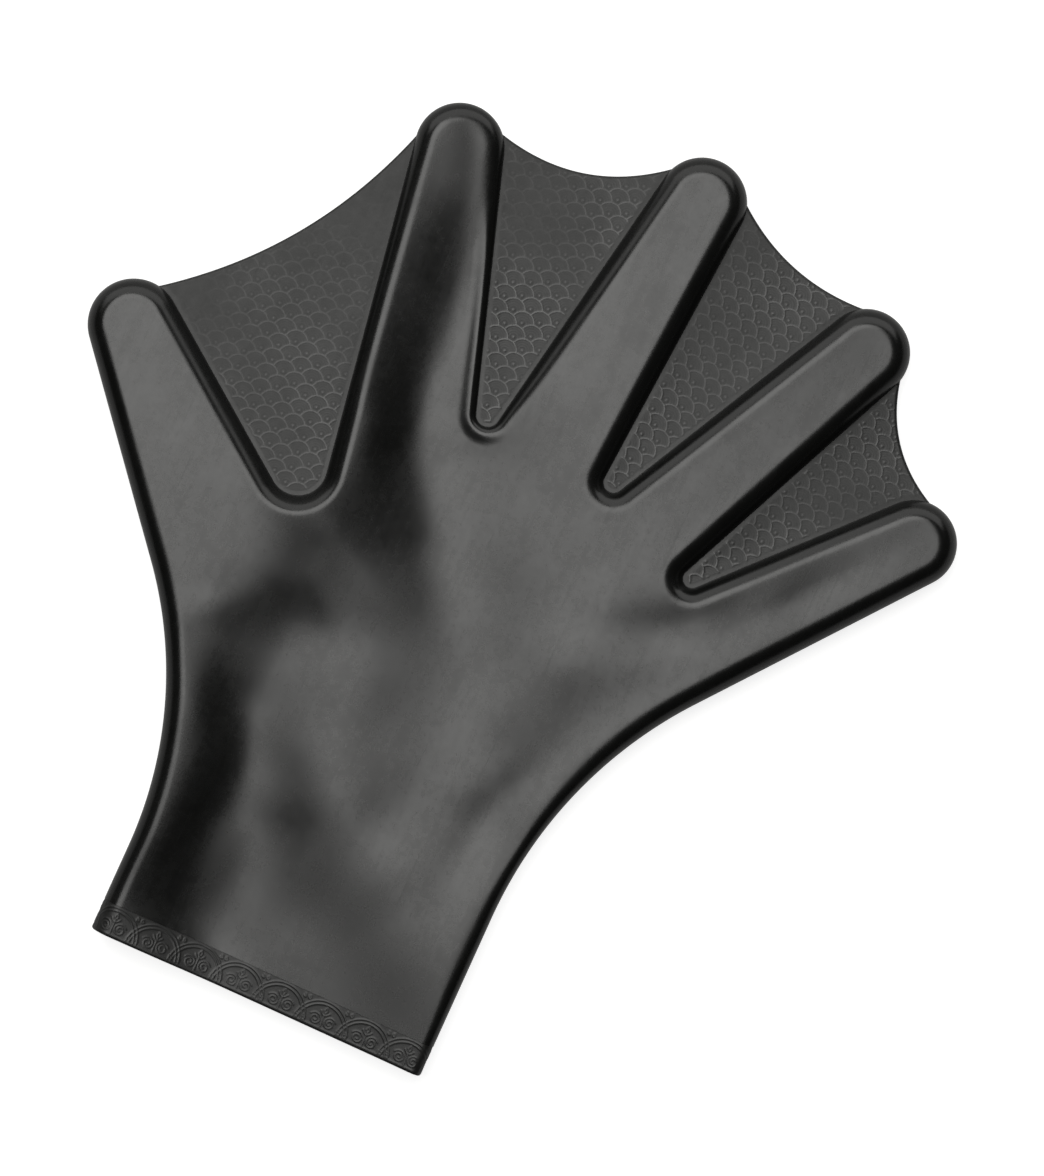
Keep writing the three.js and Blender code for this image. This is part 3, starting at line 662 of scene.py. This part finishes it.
def web_loop(sizes, index, inset, step):
    """The plan outline of one web: up one stall's side from the crotch, along the bowed free edge and back
    down the other. Returns the loop, its two stall sides as a line, the free edge and the crotch point."""
    web = WEBS[index]
    a = stall_side(sizes, index, 1, inset)
    b = stall_side(sizes, index + 1, -1, inset)
    curve = fillet(a[0], -a[1], b[0], b[1], web["crotch"] * sizes.stall + inset, 24)
    begin = [math.atan2(s[2][1], s[2][0]) for s in (a, b)]
    past = [math.radians(v) for v in web["past"]]
    first = arc(a[3], a[4], begin[0] + past[0], begin[0], 8)
    second = arc(b[3], b[4], begin[1], begin[1] - past[1], 8)
    down = between(first[-1], curve[0], max(2, int(np.linalg.norm(curve[0] - first[-1]) / step)))
    up = between(curve[-1], second[0], max(2, int(np.linalg.norm(second[0] - curve[-1]) / step)))
    sides = np.concatenate([first, down, curve, up, second])
    chord = sides[0] - sides[-1]
    t = np.linspace(0, 1, max(8, int(np.linalg.norm(chord) / step)))[1:-1, None]
    free = sides[-1] + chord * t - right_of(chord) * (4 * t * (1 - t)) * web["bow"]
    return np.concatenate([sides, free]), sides, free, curve[len(curve) // 2]


def web_face(sizes, index, plan, sides, free, crotch, hand):
    """One face of a web over plan points, upper where hand is 1: mid height less the sag, which is (1 -
    across^2) times the share of the way out, a faint wave, half the thickness with a rounded free edge and the
    scales. Returns the vertices and how polished each is, which also sets how much a painted highlight makes
    it paler: scales and smooth margin."""
    web = WEBS[index]
    up = heading(web["up"])
    local = (plan - np.array(web["bead"]) * sizes.reach) @ np.stack([right_of(up), up], -1)
    axis = (sides[0] + sides[-1]) / 2 - crotch
    axis /= np.linalg.norm(axis)
    out = (plan - crotch) @ axis
    out = np.clip(out / out.max(), 0, 1)
    side = np.abs((plan - crotch) @ right_of(axis))
    across = np.clip(1 - (side / np.maximum(side.max() * out, 1e-3)) ** 2, 0, 1)
    from_side = distance_to(plan, sides)
    from_free = distance_to(plan, np.concatenate([sides[-1:], free, sides[:1]]))
    middle = sizes.thickness / 2 - web["sag"] * sizes.thickness * across * out
    wave = waves(plan, WAVE_SEED["wave"] + index, WEB_WAVE["length"]) - 0.5
    middle += wave * WEB_WAVE["height"] * np.clip(from_side / WEB_WAVE["onset"], 0, 1)
    patches = waves(plan, WAVE_SEED["wear"] + index, WEB_WEAR["length"]) - 0.5
    kept = WEB_WEAR["start"] - web["wear"] * out ** WEB_WEAR["power"] + WEB_WEAR["patches"] * patches
    covered = np.clip((from_side - SCALE["margin"]) / WEB_RAMP["margin"], 0, 1)
    open_edge = np.clip((from_free - WEB_RAMP["free"]) / WEB_RAMP["free_ramp"], 0, 1)
    relief = scale_relief(local) * covered * np.clip(kept, WEB_WEAR["least"], 1) * open_edge
    round_off = np.minimum(from_free / (sizes.web / 2), 1)
    half = sizes.web / 2 * np.sqrt(np.clip(1 - (1 - round_off) ** 2, 0.02, 1))
    gloss = np.clip(WEB_GLOSS["start"] - WEB_GLOSS["fade"] * out, 0, WEB_GLOSS["most"])
    polish = np.maximum(relief, (1 - covered) * gloss)
    return np.column_stack([plan, middle + hand * (half + relief * SCALE["height"])]), polish


def build_web(sizes, index, material):
    """One web: a thin plate at mid height with raised scales on both faces and a rounded free edge."""
    web = WEBS[index]
    step = WEB_CELL["upper"] * WEB_LOOP["step"]
    loop, sides, free, crotch = web_loop(sizes, index, sizes.wall * WEB_LOOP["bite"], step)
    faces, fills = [], []
    for hand, side in ((1, "upper"), (-1, "lower")):
        inner = lattice(loop, WEB_CELL[side], WEB_CELL[side] * WEB_LOOP["clear"], heading(web["up"]))
        fills.append(filled(loop, inner)[:, ::hand])
        faces.append(web_face(sizes, index, np.concatenate([loop, inner]), sides, free, crotch, hand))
    shift = len(faces[0][0])
    ring = np.arange(len(loop))
    wall = strip(np.stack([ring, ring + shift]))
    triangles = np.concatenate([fills[0], fills[1] + shift, wall[:, ::-1]])
    vertices = np.concatenate([faces[0][0], faces[1][0]])
    # This mask also makes the colour paler, a painted highlight on scales and smooth margin.
    polish = np.concatenate([faces[0][1], faces[1][1]])
    name = web["name"].replace("web_", "webbing_")
    piece(name, vertices, triangles, material, [web["name"]], polish)


def spiral(centre, radius, start, turns, hand):
    """Points of a spiral that winds inwards from radius to about a fifth of it."""
    t = np.linspace(0, 1, 40)
    angle = start + hand * 2 * math.pi * turns * t
    r = radius * (1 - SPIRAL_SHRINK * t)
    return np.stack([centre[0] + r * np.cos(angle), centre[1] + r * np.sin(angle)], -1)


def ornament_lines(pitch):
    """The lines of one cell in millimetres, x from its middle and y up the band: double arches whose legs
    cross the neighbours', two scrolls that face each other round a stem with a bud, a pair of small curls
    above each crossing and one below it."""
    t = np.linspace(0, math.pi, 48)
    arches = [
        np.stack([-np.cos(t) * wide + k * pitch, np.sin(t) * high], -1)
        for k in (-1, 0, 1)
        for wide, high in ARCH_LINES
    ]
    scrolls = [spiral((side * 1.9, 2.2), 1.6, math.radians(90 - side * 60), 1.7, side) for side in (-1, 1)]
    stem = [np.array([[0.0, 0.6], [0.0, 4.1], [-0.42, 4.9], [0.0, 5.8], [0.42, 4.9], [0.0, 4.1]])]
    leaves = [np.array([[0.0, 3.5], [side * 0.7, 3.95], [side * 1.15, 4.55]]) for side in (-1, 1)]
    curls = [spiral((side * (pitch / 2 - 0.75), 6.35), 0.55, math.radians(90), 1.0, -side) for side in (-1, 1)]
    roots = [spiral((side * (pitch / 2 - 0.8), 1.2), 0.75, math.radians(90), 1.1, side) for side in (-1, 1)]
    return arches, scrolls + stem + leaves + curls + roots


def ornament(pitch, x, y):
    """Height from 0 to 1 over one cell of the band, places in metres from the cell's middle and the
    band's lower edge: the greatest of the lines' rounded ridges."""
    points = np.stack([x, y], -1).reshape(-1, 2)
    strong, fine = ornament_lines(pitch * 1e3)
    total = np.zeros(len(points))
    for lines, (gain, width) in zip((strong, fine), LINE_GAINS):
        for line in lines:
            d = distance_to(points, line * 1e-3)
            total = np.maximum(total, gain * np.exp(-((d / (BAND["line"] * width)) ** 2)))
    return total.reshape(x.shape)


def band_section(sizes, y_low):
    """The band's cross-section cut evenly by length round the cuff, from half a cell before the phase: x,
    height factor and distance from the plateau's edge of each point, and the length of one cell."""
    x, rise, near = section(sizes, BAND["height"])
    fine = section_surface(sizes, BAND["height"], x, rise, near, np.full(len(x), y_low))
    steps = np.linalg.norm(np.roll(fine, -1, 0)[:, ::2] - fine[:, ::2], axis=1)
    length = np.concatenate([[0], np.cumsum(steps)])
    pitch = length[-1] / BAND["cells"]
    top = slice(SECTION["shoulder"], SECTION["shoulder"] + SECTION["flat"] - 2)
    start = np.interp(BAND["phase"], x[top], length[top]) - pitch / 2
    count = BAND["cells"] * BAND["across"]
    s = (start + np.arange(count) * length[-1] / count) % length[-1]
    x, rise, near = (np.interp(s, length, np.append(values, values[0])) for values in (x, rise, near))
    return x, rise, near, pitch


def band_relief(sizes, pitch):
    """Places up the band from 0 to 1, and the height from 0 to 1 over it in rows up the band: the ornament,
    faded at both edges, and a low border along the lower edge."""
    rows = np.linspace(0, 1, BAND["up"] + 1)
    cell_x = (np.arange(BAND["across"]) / BAND["across"] - 0.5) * pitch
    cell = ornament(pitch, *np.meshgrid(cell_x, rows * sizes.band))
    fade = np.clip(np.minimum(rows / BAND_EDGE["low"], (1 - rows) / BAND_EDGE["high"]), 0, 1)
    border = np.exp(-((rows * sizes.band / BORDER["width"] - BORDER["place"]) ** 2)) * BORDER["height"]
    return rows, np.maximum(np.tile(cell, (1, BAND["cells"])) * fade[:, None], border[:, None])


def build_band(sizes, material):
    """The cuff band: the wall's cross-section carried along Y, with the ornament raised along the normal
    from a slightly thinner wall, a flat upper edge and a rounded lip below."""
    y_low, y_high = -sizes.palm, -sizes.palm + sizes.band - HALF_GAP
    x, rise, near, pitch = band_section(sizes, y_low)
    rows, relief = band_relief(sizes, pitch)
    y = y_low + rows * (y_high - y_low)
    places = [np.broadcast_to(values, relief.shape) for values in (x, rise, near, y[:, None])]
    base = section_surface(sizes, BAND["height"], *places)
    across = np.roll(base, -1, 1) - np.roll(base, 1, 1)
    normal = np.stack([-across[..., 2], np.zeros(relief.shape), across[..., 0]], -1)
    normal /= np.linalg.norm(normal, axis=-1, keepdims=True)
    outer = base + normal * relief[..., None] * BAND["height"]
    shrink = (sizes.cuff / 2 - sizes.wall) / (sizes.cuff / 2 - BAND["height"])
    inner_x = sizes.cuff_offset + (x - sizes.cuff_offset) * shrink
    inner = [
        section_surface(sizes, sizes.wall, inner_x, rise, near, np.full(len(x), value))
        for value in np.linspace(y_low, y_high, BAND["inner"])
    ]
    low_lip = lip(outer[0], inner[0], y_low, BAND["lip"], LIP_STEPS)
    high_edge = lip(outer[-1], inner[-1], y_high, 0.0, EDGE_STEPS)
    rings = [*high_edge[::-1], *outer[::-1], *low_lip, *inner]
    vertices = np.concatenate(rings)
    loops = np.arange(len(vertices)).reshape(len(rings), len(x))
    triangles = strip(np.concatenate([loops, loops[:1]]))
    # The relief mask polishes the raised ornament and border and makes their colour paler, a painted
    # highlight.
    mask = np.zeros((len(rings), len(x)))
    mask[len(high_edge) : len(high_edge) + len(outer)] = relief[::-1]
    piece("embossed_cuff_band", vertices, triangles, material, ["cuff_band"], mask.ravel())


def build_hand(sizes, material):
    """The hollow hand from the cuff band to the fingertips: the outer wall, the lining turned inside out
    and a flat edge that joins them at the band."""
    y_end = -sizes.palm + sizes.band + HALF_GAP
    outer, outer_triangles, outer_mouth = form(sizes, 0.0, y_end, SKIN)
    lining, lining_triangles, lining_mouth = form(sizes, sizes.wall, y_end, LINING)
    edge = lip(outer[outer_mouth], lining[lining_mouth], y_end, 0.0, EDGE_STEPS)
    shift = len(outer)
    first = shift + len(lining)
    rows = first + np.arange(edge.shape[0] * edge.shape[1]).reshape(edge.shape[:2])
    loops = np.concatenate([outer_mouth[None], rows, lining_mouth[None] + shift])
    vertices = np.concatenate([outer, lining, edge.reshape(-1, 3)])
    triangles = np.concatenate([outer_triangles, lining_triangles[:, ::-1] + shift, strip(loops)])
    piece("silicone_hand", vertices, triangles, material, ["palm", *STALL_NODES])


def rubber_group():
    """Shader node group for moulded silicone: clouds, streaks, faint scratches and grain shift the roughness
    and a little of the colour, and what is raised or rubbed is more polished than the ground and made paler, a
    painted highlight."""
    tree = bpy.data.node_groups.get("moulded_silicone")
    if tree:
        return tree
    tree = bpy.data.node_groups.new("moulded_silicone", "ShaderNodeTree")
    for direction, sockets in GROUP_SOCKETS.items():
        for name in sockets:
            kind = "NodeSocketColor" if name in COLOUR_SOCKETS else "NodeSocketFloat"
            tree.interface.new_socket(name=name, in_out=direction, socket_type=kind)
    nodes, links = tree.nodes, tree.links
    enter, leave = nodes.new("NodeGroupInput"), nodes.new("NodeGroupOutput")
    place = nodes.new("ShaderNodeTexCoord")

    def math_node(operation, a, b):
        node = nodes.new("ShaderNodeMath")
        node.operation = operation
        for slot, value in zip(node.inputs, (a, b)):
            if isinstance(value, (int, float)):
                slot.default_value = value
            else:
                links.new(value, slot)
        return node.outputs[0]

    def mixed(*parts):
        total = 0.0
        for value, share in parts:
            total = math_node("ADD", math_node("MULTIPLY", value, share), total)
        return total

    noises = []
    for values in NOISES.values():
        row = dict(zip(NOISE_COLUMNS, values))
        mapping = nodes.new("ShaderNodeMapping")
        mapping.inputs["Rotation"].default_value = (0, 0, math.radians(row["turn"]))
        mapping.inputs["Scale"].default_value = (1, row["stretch"], 1)
        links.new(place.outputs["Object"], mapping.inputs["Vector"])
        noise = nodes.new("ShaderNodeTexNoise")
        noise.inputs["Scale"].default_value = row["scale"]
        noise.inputs["Detail"].default_value = row["detail"]
        noise.inputs["Roughness"].default_value = row["rough"]
        noise.inputs["Distortion"].default_value = row["warp"]
        links.new(mapping.outputs["Vector"], noise.inputs["Vector"])
        spread = nodes.new("ShaderNodeMapRange")
        spread.inputs["From Min"].default_value = row["low"]
        spread.inputs["From Max"].default_value = row["high"]
        links.new(noise.outputs["Fac"], spread.inputs["Value"])
        noises.append((spread.outputs["Result"], row))

    def shares(column):
        return [(value, row[column]) for value, row in noises if row[column]]

    amount = math_node("MULTIPLY", mixed(*shares("smudge")), enter.outputs["Smudge"])
    # Smudges make the colour paler at random; the relief mask makes it paler still as a painted highlight.
    smudge_and_highlight_share = math_node("ADD", amount, math_node("MULTIPLY", enter.outputs["Relief"], RELIEF_PAINTED_HIGHLIGHT))
    mix = nodes.new("ShaderNodeMix")
    mix.data_type = "RGBA"
    mix.clamp_factor = True
    links.new(smudge_and_highlight_share, mix.inputs["Factor"])
    links.new(enter.outputs["Colour"], mix.inputs["A"])
    links.new(enter.outputs["Bloom"], mix.inputs["B"])
    links.new(mix.outputs["Result"], leave.inputs["Colour"])
    polished = math_node("MULTIPLY", enter.outputs["Relief"], enter.outputs["Polish"])
    rough = math_node("SUBTRACT", enter.outputs["Roughness"], polished)
    rough = mixed((amount, SMUDGE_GLOSS), *shares("gloss"), (rough, 1.0))
    links.new(rough, leave.inputs["Roughness"])
    links.new(mixed(*shares("height")), leave.inputs["Height"])
    return tree


def silicone(name, part):
    """A silicone material from the shared group in the colour and finish of one part, with the relief
    attribute where the finish polishes what is raised and paints a highlight on it by making the colour paler."""
    colour, finish = getattr(bpy.context.scene.glove_colours, part), FINISHES[part]
    material = bpy.data.materials.new(name)
    material.use_nodes = True
    nodes, links = material.node_tree.nodes, material.node_tree.links
    shader = nodes["Principled BSDF"]
    group = nodes.new("ShaderNodeGroup")
    group.node_tree = rubber_group()
    group.inputs["Colour"].default_value = (*colour, 1)
    group.inputs["Bloom"].default_value = (*(value * BLOOM_AND_HIGHLIGHT_GAIN for value in colour), 1)
    for key in ("smudge", "roughness", "polish"):
        group.inputs[key.capitalize()].default_value = finish[key]
    if finish["polish"]:
        attribute = nodes.new("ShaderNodeAttribute")
        attribute.attribute_name = "relief"
        links.new(attribute.outputs["Fac"], group.inputs["Relief"])
    links.new(group.outputs["Colour"], shader.inputs["Base Color"])
    links.new(group.outputs["Roughness"], shader.inputs["Roughness"])
    rise = nodes.new("ShaderNodeBump")
    rise.inputs["Strength"].default_value = finish["bump"]
    rise.inputs["Distance"].default_value = BUMP_DISTANCE
    links.new(group.outputs["Height"], rise.inputs["Height"])
    links.new(rise.outputs["Normal"], shader.inputs["Normal"])
    shader.inputs["IOR"].default_value = SILICONE_IOR
    return material


def area_light(name, place, aim, size, power):
    """A soft rectangular light at a place, pointing at aim."""
    data = bpy.data.lights.new(name, "AREA")
    data.shape = "RECTANGLE"
    data.size, data.size_y = size
    data.energy = power
    data.color = LIGHT_COLOUR
    light = bpy.data.objects.new(name, data)
    light.location = place
    light.rotation_euler = (Vector(aim) - Vector(place)).to_track_quat("-Z", "Y").to_euler()
    bpy.context.scene.collection.objects.link(light)


class GLOVE_OT_hand(bpy.types.Operator):
    """Build the hollow silicone hand with its five stalls."""

    bl_idname = "glove.build_hand"
    bl_label = "Build hand"

    def execute(self, context):
        build_hand(context.scene.glove_sizes, silicone("black_silicone", "skin"))
        return {"FINISHED"}


class GLOVE_OT_webs(bpy.types.Operator):
    """Build the four webs with their raised scales."""

    bl_idname = "glove.build_webs"
    bl_label = "Build webs"

    def execute(self, context):
        material = silicone("web_silicone", "web")
        for index in range(len(WEBS)):
            build_web(context.scene.glove_sizes, index, material)
        return {"FINISHED"}


class GLOVE_OT_band(bpy.types.Operator):
    """Build the embossed band round the cuff."""

    bl_idname = "glove.build_band"
    bl_label = "Build cuff band"

    def execute(self, context):
        build_band(context.scene.glove_sizes, silicone("band_silicone", "band"))
        return {"FINISHED"}


class GLOVE_OT_stage(bpy.types.Operator):
    """Set the floor, the lights and the camera straight above."""

    bl_idname = "glove.set_stage"
    bl_label = "Set stage"

    def execute(self, context):
        scene = context.scene
        mesh = bpy.data.meshes.new("floor")
        reach = FLOOR["reach"]
        corners = [(-reach, -reach, 0), (reach, -reach, 0), (reach, reach, 0), (-reach, reach, 0)]
        mesh.from_pydata(corners, [], [(0, 1, 2, 3)])
        floor = bpy.data.objects.new("floor", mesh)
        material = bpy.data.materials.new("pale_floor")
        material.use_nodes = True
        shader = material.node_tree.nodes["Principled BSDF"]
        shader.inputs["Base Color"].default_value = (*scene.glove_colours.floor, 1)
        shader.inputs["Roughness"].default_value = FLOOR["roughness"]
        path = material.node_tree.nodes.new("ShaderNodeLightPath")
        glow = material.node_tree.nodes.new("ShaderNodeMath")
        glow.operation = "MULTIPLY"
        glow.inputs[1].default_value = FLOOR["glow"]
        material.node_tree.links.new(path.outputs["Is Camera Ray"], glow.inputs[0])
        material.node_tree.links.new(glow.outputs[0], shader.inputs["Emission Strength"])
        shader.inputs["Emission Color"].default_value = (1, 1, 1, 1)
        mesh.materials.append(material)
        scene.collection.objects.link(floor)

        roll = math.radians(PHOTO_ROLL)
        up = heading(-PHOTO_ROLL)
        for row in LIGHTS:
            place = np.array(LOOK_AT) + up * row["up"] + right_of(up) * row["side"]
            aim = place if row["aims_down"] else LOOK_AT
            area_light(row["name"], (*place, row["height"]), (*aim, 0), row["size"], row["power"])
        world = bpy.data.worlds.new("studio")
        world.use_nodes = True
        world.node_tree.nodes["Background"].inputs["Color"].default_value = (1, 1, 1, 1)
        world.node_tree.nodes["Background"].inputs["Strength"].default_value = WORLD_STRENGTH
        scene.world = world

        data = bpy.data.cameras.new("photo_camera")
        data.lens = LENS
        data.sensor_width = SENSOR
        camera = bpy.data.objects.new("photo_camera", data)
        camera.location = (*LOOK_AT, FIELD_HEIGHT * LENS / SENSOR)
        camera.rotation_euler = (0, 0, roll)
        scene.collection.objects.link(camera)
        scene.camera = camera
        scene.view_settings.view_transform = "Standard"
        return {"FINISHED"}


class GLOVE_PT_panel(bpy.types.Panel):
    """Lists the glove's sizes, colours and pieces."""

    bl_label = "Webbed swim glove"
    bl_idname = "GLOVE_PT_panel"
    bl_space_type = "VIEW_3D"
    bl_region_type = "UI"
    bl_category = "Glove"

    def draw(self, context):
        column = self.layout.column()
        for group in (context.scene.glove_sizes, context.scene.glove_colours):
            for name in group.__annotations__:
                column.prop(group, name)
        for operator in OPERATORS:
            column.operator(operator.bl_idname)


OPERATORS = (GLOVE_OT_hand, GLOVE_OT_webs, GLOVE_OT_band, GLOVE_OT_stage)
CLASSES = (GloveSizes, GloveColours, *OPERATORS, GLOVE_PT_panel)


def register():
    """Register the classes and hang the two property groups on the scene."""
    for cls in CLASSES:
        bpy.utils.register_class(cls)
    bpy.types.Scene.glove_sizes = bpy.props.PointerProperty(type=GloveSizes)
    bpy.types.Scene.glove_colours = bpy.props.PointerProperty(type=GloveColours)


def unregister():
    """Undo register."""
    del bpy.types.Scene.glove_colours
    del bpy.types.Scene.glove_sizes
    for cls in reversed(CLASSES):
        bpy.utils.unregister_class(cls)


def main():
    """Build every piece and the stage."""
    register()
    bpy.ops.glove.build_hand()
    bpy.ops.glove.build_webs()
    bpy.ops.glove.build_band()
    bpy.ops.glove.set_stage()


if __name__ == "__main__":
    main()
